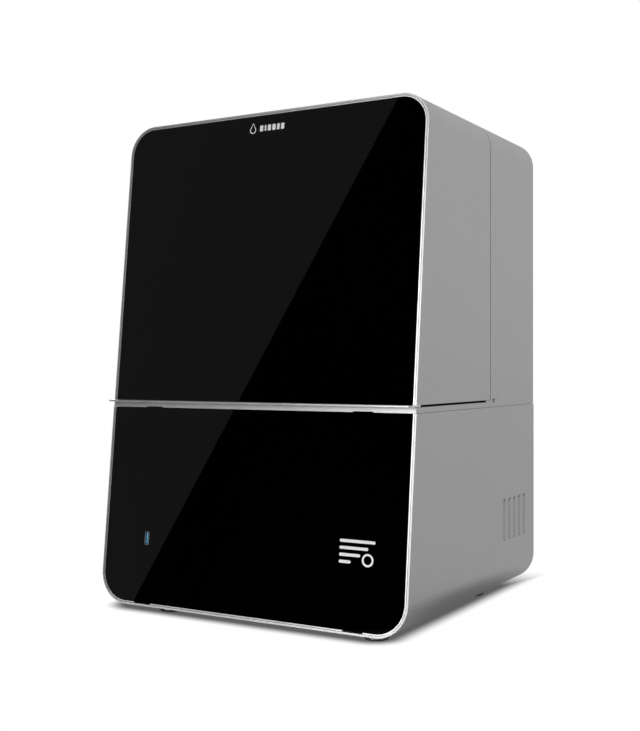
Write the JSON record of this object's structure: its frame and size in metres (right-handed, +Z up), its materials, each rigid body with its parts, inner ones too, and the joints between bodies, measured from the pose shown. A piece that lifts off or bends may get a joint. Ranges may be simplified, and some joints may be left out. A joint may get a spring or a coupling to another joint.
{
  "type": "resin printer",
  "caption": "Desktop masked-light resin printer: raked black glass front, hinged clamshell cover with a lifting lip, resin vat, screw-driven build platform and light engine.",
  "frame": {"origin": "middle of the footprint, on the surface that the feet stand on", "axes": "+Z up, +X to the right seen from the front, the raked glass front faces -Y"},
  "size_m": [0.4036, 0.377, 0.5812],
  "materials": {
    "case_aluminium": "fine bead-blasted, clear anodised",
    "bright_aluminium": "satin machined edge",
    "black_panel": "back-painted black, mirror gloss",
    "socket_metal": "plated steel",
    "blue_plastic": "moulded",
    "black_plastic": "moulded, fine texture",
    "rubber": "matt",
    "rear_steel": "dark powder coat",
    "circuit_board": "solder mask",
    "zinc_sheet": "zinc plated",
    "clear_lens": "moulded optic",
    "black_anodised": "matt black anodised",
    "ground_steel": "ground",
    "screen": "polarised glass",
    "plate_metal": "blasted",
    "vat_metal": "satin anodised",
    "release_film": "clear film",
    "knob_black": "moulded"
  },
  "bodies": {
    "base": {"base_shell": "case_aluminium", "base_bezel": "bright_aluminium", "base_glass": "black_panel", "usb_port": "socket_metal", "usb_tongue": "blue_plastic", "touch_display": "black_plastic", "feet": "ground_steel", "foot_pads": "rubber", "rear_lower_panel": "rear_steel", "power_inlet": "black_plastic", "inlet_pins": "socket_metal", "switch_body": "black_plastic", "network_port": "socket_metal", "exhaust_fan_frame": "black_plastic", "fan_guard": "ground_steel", "main_board": "circuit_board", "power_supply": "zinc_sheet", "led_heatsink": "plate_metal", "led_board": "circuit_board", "led_lenses": "clear_lens", "light_box": "black_anodised", "led_fan_frame": "black_plastic", "deck_plate": "black_anodised", "lcd_panel": "screen", "screen_glass": "clear_lens", "z_column": "black_anodised", "linear_rails": "ground_steel", "lower_bearing": "black_anodised", "upper_bearing": "black_anodised", "z_motor": "black_anodised", "motor_posts": "ground_steel", "home_sensor": "black_plastic", "rear_housing": "case_aluminium", "rear_upper_panel": "rear_steel", "panel_screws": "ground_steel", "hinge_brackets": "zinc_sheet", "hinge_pins": "ground_steel"},
    "cover": {"cover_shell": "case_aluminium", "cover_bezel": "bright_aluminium", "cover_glass": "black_panel", "cover_lip": "bright_aluminium", "hinge_arms": "zinc_sheet"},
    "carriage": {"carriage_blocks": "ground_steel", "carriage_plate": "black_anodised", "screw_nut": "ground_steel", "plate_arm": "black_anodised"},
    "z_screw": {"ball_screw": "ground_steel", "shaft_coupling": "plate_metal", "motor_shaft": "ground_steel"},
    "platform_clamp": {"clamp_knob": "knob_black"},
    "platform": {"plate_stem": "black_anodised", "build_plate": "plate_metal"},
    "vat": {"vat_frame": "vat_metal", "vat_film": "release_film", "film_ring": "vat_metal"},
    "vat_screw_left": {"vat_knob_left": "knob_black"},
    "vat_screw_right": {"vat_knob_right": "knob_black"},
    "exhaust_fan": {"exhaust_fan_rotor": "black_plastic"},
    "led_fan": {"led_fan_rotor": "black_plastic"},
    "power_switch": {"switch_rocker": "knob_black"}
  },
  "joints": [
    {"name": "cover_hinge", "type": "hinge", "parent": "base", "child": "cover", "pos_m": [0, 0.0797, 0.5712], "axis": [-1, 0, 0], "range_deg": [0, 75]},
    {"name": "z_axis", "type": "slide", "parent": "base", "child": "carriage", "axis": [0, 0, 1], "range_m": [-0.0695, 0.13]},
    {"name": "screw_spin", "type": "hinge", "parent": "base", "child": "z_screw", "pos_m": [0, 0.13, 0.4], "axis": [0, 0, 1], "range_deg": [-9370, 5010]},
    {"name": "platform_clamp_turn", "type": "hinge", "parent": "carriage", "child": "platform_clamp", "pos_m": [0, -0.03, 0.4], "axis": [0, 0, 1], "range_deg": [0, 720]},
    {"name": "platform_slide", "type": "slide", "parent": "carriage", "child": "platform", "axis": [0, -1, 0], "range_m": [0, 0.045]},
    {"name": "vat_slide", "type": "slide", "parent": "base", "child": "vat", "axis": [0, -1, 0], "range_m": [0, 0.026]},
    {"name": "vat_screw_left_turn", "type": "hinge", "parent": "base", "child": "vat_screw_left", "pos_m": [-0.138, -0.03, 0.26], "axis": [0, 0, 1], "range_deg": [0, 720]},
    {"name": "vat_screw_right_turn", "type": "hinge", "parent": "base", "child": "vat_screw_right", "pos_m": [0.138, -0.03, 0.26], "axis": [0, 0, 1], "range_deg": [0, 720]},
    {"name": "exhaust_fan_spin", "type": "hinge", "parent": "base", "child": "exhaust_fan", "pos_m": [-0.1, 0.17, 0.13], "axis": [0, -1, 0], "continuous": true},
    {"name": "led_fan_spin", "type": "hinge", "parent": "base", "child": "led_fan", "pos_m": [0, -0.03, 0.09], "axis": [0, 0, 1], "continuous": true},
    {"name": "power_switch_rock", "type": "hinge", "parent": "base", "child": "power_switch", "pos_m": [0.14, 0.1839, 0.112], "axis": [-1, 0, 0], "range_deg": [0, 16]}
  ],
  "couplings": [
    {"joint": "screw_spin", "follows": "z_axis", "rad_per_m": -1256.6}
  ]
}
